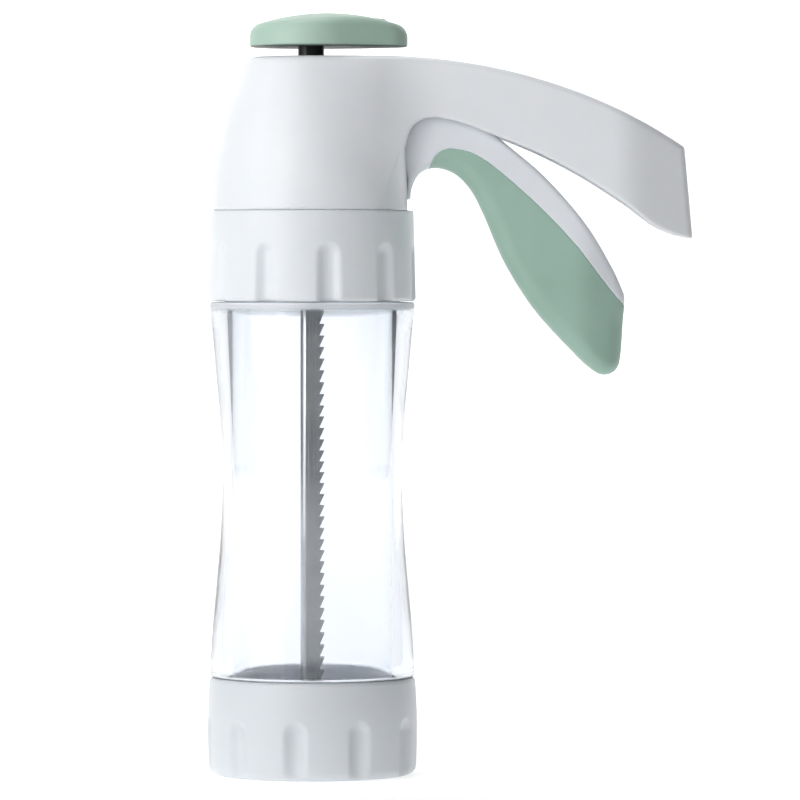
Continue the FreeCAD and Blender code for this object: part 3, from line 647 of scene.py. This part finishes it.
def back_z(x, inset=0):
    """Height of the handle's arched back, or of a line inside it."""
    return BEND_Z + math.sqrt((BEND_R - inset) ** 2 - (x - BEND_X) ** 2)


def top_line(inset, x_end, steps=24):
    """Points along the arched back of the handle, or the ceiling under it."""
    return [(x, back_z(x, inset)) for x in np.linspace(BEND_X, x_end, steps)]


def polyline(points):
    return np.array(points, float)


HEEL = [(107.75, 181.2), (110.0, 156.6), (110.4, 130.0)]
UNDER_BACK = polyline([(-60, HEAD_TOP)] + top_line(0, 107.4) + HEEL + [(-60, 130.0)])
ARCH = [(26.8, 181.4), (28.6, 187.0), (32.0, 189.8), (36.0, 190.3)]
BELLY = [(36.0, 190.3), (42.6, 188.9), (50.5, 185.9), (64.4, 180.3), (77.4, 173.6), (90.0, 165.6),
         (98.5, 159.2), (104.1, 156.6), (109.0, 155.4), (114.0, 154.6)]
OVER_BELLY = closed_outline([(27.6, 150), (27.5, 166), (26.8, 181.4)], ARCH, BELLY,
                            [(114, 154.6), (114, 240)], [(114, 240), (-60, 240)],
                            [(-60, 240), (-60, 150)], [(-60, 150), (27.6, 150)])
CHANNEL = polyline([(12, 166), (40, 166), (40, 140), (108.6, 140), (105.2, 179.5)]
                   + top_line(SHELL, 104.6)[::-1] + [(12, HEAD_TOP - SHELL)])


def dome_side(x, y, z, inset):
    """The bell's curved side: an arc turned about the barrel's axis."""
    r = np.hypot(x, y)
    return np.hypot(r - (HEAD_R + DOME_OUT - DOME_SIDE_R), z - HEAD_LOW) - (DOME_SIDE_R - inset)


def crease(x, z):
    """Distance past the faint line that runs down the bell beside the trigger's slot."""
    run, rise = CREASE_TOP[0] - CREASE_FOOT[0], CREASE_TOP[1] - CREASE_FOOT[1]
    return ((x - CREASE_FOOT[0]) * rise - (z - CREASE_FOOT[1]) * run) / math.hypot(run, rise)


def head_outside(x, y, z, taper):
    """The bell blended into the handle, under one arched back."""
    cheek = np.abs(y) - HANDLE_HALF + taper + 0.035 * np.maximum(20.0 - x, 0) ** 2
    past_crease = ease(crease(x, z), -0.25, 0.15) * (1 - ease(z, 179.0, 184.0))
    bell = dome_side(x, y, z, 0.3 * past_crease)
    body = soft_join(bell, np.maximum(cheek, x - 112), 8.0 + 18.0 * ease(z, 166.0, 190.0))
    return round_cut(body, outline_distance(UNDER_BACK, x, z), 1.7)


def head_distance(x, y, z):
    """The whole moulding: hollow, with screw posts, ribs in the handle and the trigger's pin hole."""
    taper = narrowing(x, *HANDLE_NARROWS)
    body = head_outside(x, y, z, taper)
    channel = outline_distance(CHANNEL, x, z)
    channel = round_cut(channel, np.abs(y) - CHANNEL_HALF + taper, 1.2)
    inner = np.maximum(dome_side(x, y, z, SHELL), z - (HEAD_TOP - SHELL))
    hollow = np.minimum(channel, inner)
    body = round_cut(body, outline_distance(OVER_BELLY, x, z), 0.7)
    body = round_cut(body, -hollow, 0.5)
    body = round_cut(body, np.minimum(HEAD_FOOT - z, 70.0 - x), 0.12)
    for angle in map(math.radians, SCREW_ANGLES):
        from_screw = np.hypot(x - SCREW_CIRCLE_R * math.cos(angle), y - SCREW_CIRCLE_R * math.sin(angle))
        post = np.maximum(from_screw - POST_R, slab(z, 168.0, 200.0))
        body = round_join(body, post, 0.8)
        body = np.maximum(body, -np.maximum(from_screw - POST_HOLE_R, z - 181.0))
    for rib_x in RIBS_X:
        top = back_z(rib_x)
        rib = np.maximum(slab(x, rib_x - RIB_HALF, rib_x + RIB_HALF), slab(z, top - 8.0, top - 1.5))
        body = round_join(body, np.maximum(rib, np.abs(y) - CHANNEL_HALF + taper), 0.6)
    bush_hole = np.maximum(np.hypot(x, y) - 6.25, HEAD_TOP - SHELL - 2 - z)
    body = round_cut(body, -bush_hole, 0.35)
    pin_hole = np.maximum(from_pin(PIVOT, x, z) - 2.0, np.abs(y) - 12.4)
    return np.maximum(body, -pin_hole)


def make_head():
    low, high = box_mm("head_housing")
    head = skin("head_shell", head_distance, low, high, 0.62)
    dress(head, "head", "white_shell", shell_white, "head_housing")


# ---------------------------------------------------------------- trigger
TRIGGER_NARROWS = (74.0, 11.0, 0.5)
GRIP_GAP = 0.05
LEVER_UNDER_GRIP = 0.3
GRIP_PROUD = 0.04
ARM_HALF = 5.4
COIL_RELIEF_R = 7.6
TRIGGER_SIDE = closed_outline(
    [(55.7, 182.9), (67.3, 173.0), (78.9, 159.7), (86.6, 147.2), (90.2, 139.4)],
    [(90.2, 139.4), (90.4, 137.6), (90.0, 132.0), (89.3, 122.0), (88.4, 118.2), (86.2, 116.3), (83.2, 116.2),
     (80.2, 118.1), (76.0, 122.0), (64.4, 134.7), (55.7, 148.4), (49.9, 161.7), (46.0, 169.3), (41.2, 174.2),
     (35.4, 175.9), (31.0, 174.1), (28.9, 170.2), (28.4, 166.8)],
    [(28.4, 166.8), (27.0, 166.8)], [(27.0, 166.8), (26.6, 174.0), (22.0, 178.0), (18.6, 181.0)],
    [(18.6, 181.0), (18.6, 191.0)],
    [(18.6, 191.0), (24.0, 193.6), (36.0, 194.2), (47.0, 190.0), (55.7, 182.9)])
GRIP_SIDE = closed_outline(
    [(33.0, 172.0), (33.9, 176.4), (36.4, 180.2), (41.2, 181.4), (49.9, 178.2), (64.4, 166.0), (76.0, 153.9),
     (84.7, 142.6), (89.9, 136.6), (94.0, 133.8)],
    [(94.0, 133.8), (98.0, 104.0)], [(98.0, 104.0), (56.0, 104.0)], [(56.0, 104.0), (33.0, 155.0)],
    [(33.0, 155.0), (33.0, 172.0)])
ARM_SIDE = polyline([(6.8, 182.7), (10.4, 178.2), (20.0, 178.4), (27.0, 176.0), (27.0, 191.0),
                     (18.6, 190.8)])


def trigger_body(x, y, z, side, grip):
    """The whole trigger: crisp along the top, well rounded where the fingers lie."""
    edge = 1.6 + 3.6 * ease(-grip, -3.0, 6.0)
    half = TRIGGER_HALF - GRIP_GAP - narrowing(x, *TRIGGER_NARROWS)
    return round_cut(side, np.abs(y) - half, edge)


def spine(x, y, side):
    """The lever's core that the grip is moulded round."""
    return round_cut(side + 3.4, np.abs(y) - 6.6 + narrowing(x, *TRIGGER_NARROWS), 1.2)


def lever_distance(x, y, z):
    """The white part: back, spine, the arm to the pawl's eye, the slot for the coil, two bores."""
    side = outline_distance(TRIGGER_SIDE, x, z)
    grip = outline_distance(GRIP_SIDE, x, z)
    body = trigger_body(x, y, z, side, grip)
    body = round_cut(body, -grip - LEVER_UNDER_GRIP, 0.06)
    body = np.minimum(body, np.maximum(spine(x, y, side), -grip - 40))
    arm = round_cut(outline_distance(ARM_SIDE, x, z), np.abs(y) - ARM_HALF, 0.6)
    eye = round_cut(from_pin(DRIVE_PIN, x, z) - 2.9, np.abs(y) - ARM_HALF, 0.5)
    body = np.minimum(body, round_join(arm, eye, 0.8))
    foot = np.maximum(26.0 - x, z - 178.5)
    coil = from_pin(PIVOT, x, z) - COIL_RELIEF_R
    slot = np.maximum(np.maximum(np.abs(y) - 2.9, np.minimum(x - 30.5, coil)), -foot)
    body = round_cut(body, -slot, 0.3)
    pivot_bore = from_pin(PIVOT, x, z) - 2.06
    pawl_bore = from_pin(DRIVE_PIN, x, z) - 1.5
    return np.maximum(body, -np.minimum(pivot_bore, pawl_bore))


def grip_distance(x, y, z):
    """The green part: the trigger's finger side, moulded round the spine."""
    side = outline_distance(TRIGGER_SIDE, x, z)
    grip = outline_distance(GRIP_SIDE, x, z)
    body = trigger_body(x, y, z, side, grip) - GRIP_PROUD
    body = round_cut(body, grip, 0.06)
    return round_cut(body, -spine(x, y, side), 0.1)


def make_trigger():
    low, high = box_mm("trigger_lever")
    lever = skin("lever", lever_distance, low, high, 0.5)
    dress(lever, "trigger", "white_lever", lever_white, "trigger_lever")
    low, high = box_mm("trigger_grip")
    grip = skin("soft_grip", grip_distance, low, high, 0.5)
    dress(grip, "trigger", "sage_grip", grip_sage, "trigger_grip")


# ---------------------------------------------------------------- knob
KNOB_BIG_R, KNOB_SMALL_R, KNOB_REACH = 18.1, 9.6, 18.0
KNOB_MID_X = 4.4
CROWN_R = 66.0
HOLLOW_R, HOLLOW_DEEP = 60.0, 1.3
DOT_X, DOT_R = 19.5, 1.8
STEM_X, STEM_R, STEM_FLAT = -0.35, 3.0, 0.75
STEM_TOP = 214.3


def egg_distance(x, y):
    """Plan outline of the knob: two circles and their common tangents."""
    y = np.abs(y)
    lean = (KNOB_BIG_R - KNOB_SMALL_R) / KNOB_REACH
    rise = math.sqrt(1 - lean * lean)
    along = -lean * y + rise * x
    edge = lean * x + rise * y - KNOB_BIG_R
    near_big = np.hypot(x, y) - KNOB_BIG_R
    near_small = np.hypot(x - KNOB_REACH, y) - KNOB_SMALL_R
    return np.where(along < 0, near_big, np.where(along > rise * KNOB_REACH, near_small, edge))


def ball_under(x, y, z, top, radius):
    """A large ball whose top lies over the knob's middle at that level."""
    return np.sqrt((x - KNOB_MID_X) ** 2 + y ** 2 + (z - (top - radius)) ** 2) - radius


def knob_distance(x, y, z):
    """Egg-shaped in plan, crowned and hollowed by flat arcs, with a raised dot and the stem's seat."""
    body = round_cut(egg_distance(x, y), ball_under(x, y, z, KNOB_TOP, CROWN_R), 2.6)
    body = round_cut(body, KNOB_LOW - z, 0.7)
    body = round_cut(body, -ball_under(x, y, z, KNOB_LOW + HOLLOW_DEEP, HOLLOW_R), 0.3)
    dot = round_cut(np.hypot(x - DOT_X, y) - DOT_R, slab(z, 215.0, 219.0), 0.7)
    body = round_join(body, dot, 0.6)
    seat = np.hypot(np.maximum(np.abs(x - STEM_X) - STEM_FLAT, 0), y) - STEM_R
    return np.maximum(body, -np.maximum(seat, z - STEM_TOP))


def make_knob():
    low, high = box_mm("knob")
    knob = skin("pointer_knob", knob_distance, low, high, 0.4)
    dress(knob, "rod", "sage_knob", knob_sage, "knob")


# ---------------------------------------------------------------- CAD nodes that stay as they are
KEPT = {
    "die_disc": disc_white,
    "head_base": frame_grey,
    "barrel_gasket": silicone,
    "housing_screws": pin_steel,
    "rod_bush": bush_plastic,
    "plunger_rod": rod_steel,
    "rod_end_stub": pin_steel,
    "piston": piston_white,
    "piston_seal": silicone,
    "piston_washer": pin_steel,
    "piston_screw": pin_steel,
    "knob_stem": stem_shade_black,
    "stem_pin": pin_steel,
    "trigger_pin": pin_steel,
    "trigger_spring": spring_wire,
    "drive_pawl": pawl_steel,
    "hold_pawl": pawl_steel,
    "drive_pawl_pin": pin_steel,
    "hold_pawl_pin": pin_steel,
    "drive_pawl_spring": spring_wire,
    "hold_pawl_spring": spring_wire,
}


def dress_kept_nodes():
    """Give each CAD node that stays visible its own material."""
    for name, material in KEPT.items():
        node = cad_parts[name]
        for place in node.material_slots:
            place.material = material


# ---------------------------------------------------------------- floor, backdrop, lights
FLOOR_Z = -0.00005
FLOOR_FRONT, FLOOR_BACK = -1.6, 0.9
SWEEP_BEND_R = 0.6
SWEEP_TOP = 1.4
SWEEP_HALF = 1.5


def make_stage():
    """A pale paper sweep in metres: a floor that curves up into a wall, glowing behind the press."""
    profile = [(FLOOR_FRONT, FLOOR_Z), (FLOOR_BACK, FLOOR_Z)]
    for angle in np.linspace(0, math.pi / 2, 16)[1:]:
        profile.append((FLOOR_BACK + SWEEP_BEND_R * math.sin(angle),
                        FLOOR_Z + SWEEP_BEND_R * (1 - math.cos(angle))))
    profile.append((FLOOR_BACK + SWEEP_BEND_R, SWEEP_TOP))
    vertices = [(x, y, z) for x in (-SWEEP_HALF, SWEEP_HALF) for y, z in profile]
    count = len(profile)
    faces = [(i, i + 1, count + i + 1, count + i) for i in range(count - 1)]
    sweep = mesh_object("sweep", np.array(vertices) / MM, faces)
    n = Nodes("sweep_paper")
    fibres = n.noise(n.coordinates((40, 40, 40)), 2.0, 4.0)
    n.link(n.tint(fibres, (0.84, 0.84, 0.84), (0.86, 0.86, 0.86)), n.shader.inputs["Base Color"])
    n.set(Roughness=0.9, Specular_IOR_Level=0.1, Emission_Color=(1, 1, 1, 1))
    glow = n.spread(n.along("Y", (1, 1, 1)), 0.0, 0.5, -0.14, -0.06)
    n.link(glow, n.shader.inputs["Emission Strength"])
    sweep.data.materials.append(n.material)


def area_light(name, place, target, size, power):
    """A soft box of that size and power in watts, turned to its target."""
    data = bpy.data.lights.new(name, "AREA")
    data.shape = "RECTANGLE"
    data.size, data.size_y = size
    data.energy = power
    light = bpy.data.objects.new(name, data)
    light.location = place
    light.rotation_euler = (Vector(target) - Vector(place)).to_track_quat("-Z", "Y").to_euler()
    bpy.context.scene.collection.objects.link(light)
    return light


ROOM_LEFT, ROOM_RIGHT = 0.42, 0.05


def make_world():
    """Soft room light that falls off towards the right."""
    world = bpy.data.worlds.new("studio")
    world.use_nodes = True
    tree = world.node_tree
    background = tree.nodes["Background"]
    place = tree.nodes.new("ShaderNodeTexCoord")
    split = tree.nodes.new("ShaderNodeSeparateXYZ")
    across = tree.nodes.new("ShaderNodeMapRange")
    across.inputs["From Min"].default_value = -1
    across.inputs["From Max"].default_value = 1
    across.inputs["To Min"].default_value = ROOM_LEFT
    across.inputs["To Max"].default_value = ROOM_RIGHT
    tree.links.new(place.outputs["Generated"], split.inputs["Vector"])
    tree.links.new(split.outputs["X"], across.inputs["Value"])
    tree.links.new(across.outputs["Result"], background.inputs["Strength"])
    background.inputs["Color"].default_value = (0.95, 0.975, 1.0, 1)
    bpy.context.scene.world = world


def make_lights():
    """Soft boxes from the left and front, one that only gives reflections, one over the backdrop."""
    area_light("key_front_left", (-0.6, -0.85, 0.6), (0, 0, 0.16), (0.5, 0.9), 4.3)
    area_light("side_left", (-0.75, -0.25, 0.6), (0.02, 0, 0.17), (0.4, 0.4), 1.1)
    area_light("fill_front", (-0.15, -1.5, 0.75), (0.05, 0, 0.15), (0.9, 0.6), 3.1)
    area_light("top", (-0.5, -0.1, 1.1), (0.02, 0, 0.11), (0.9, 0.9), 1.9)
    glint = area_light("glint_left", (-0.5, -0.4, 0.13), (0, 0, 0.1), (0.5, 0.5), 1.2)
    glint.visible_diffuse = False
    area_light("backdrop", (0.0, 0.5, 1.6), (0, 1.5, 0.4), (1.2, 0.5), 12.0)


# ---------------------------------------------------------------- assembly
make_barrel()
make_rings()
make_head()
make_trigger()
make_knob()
dress_kept_nodes()
make_stage()
make_world()
make_lights()
bpy.context.scene.view_settings.view_transform = "Standard"
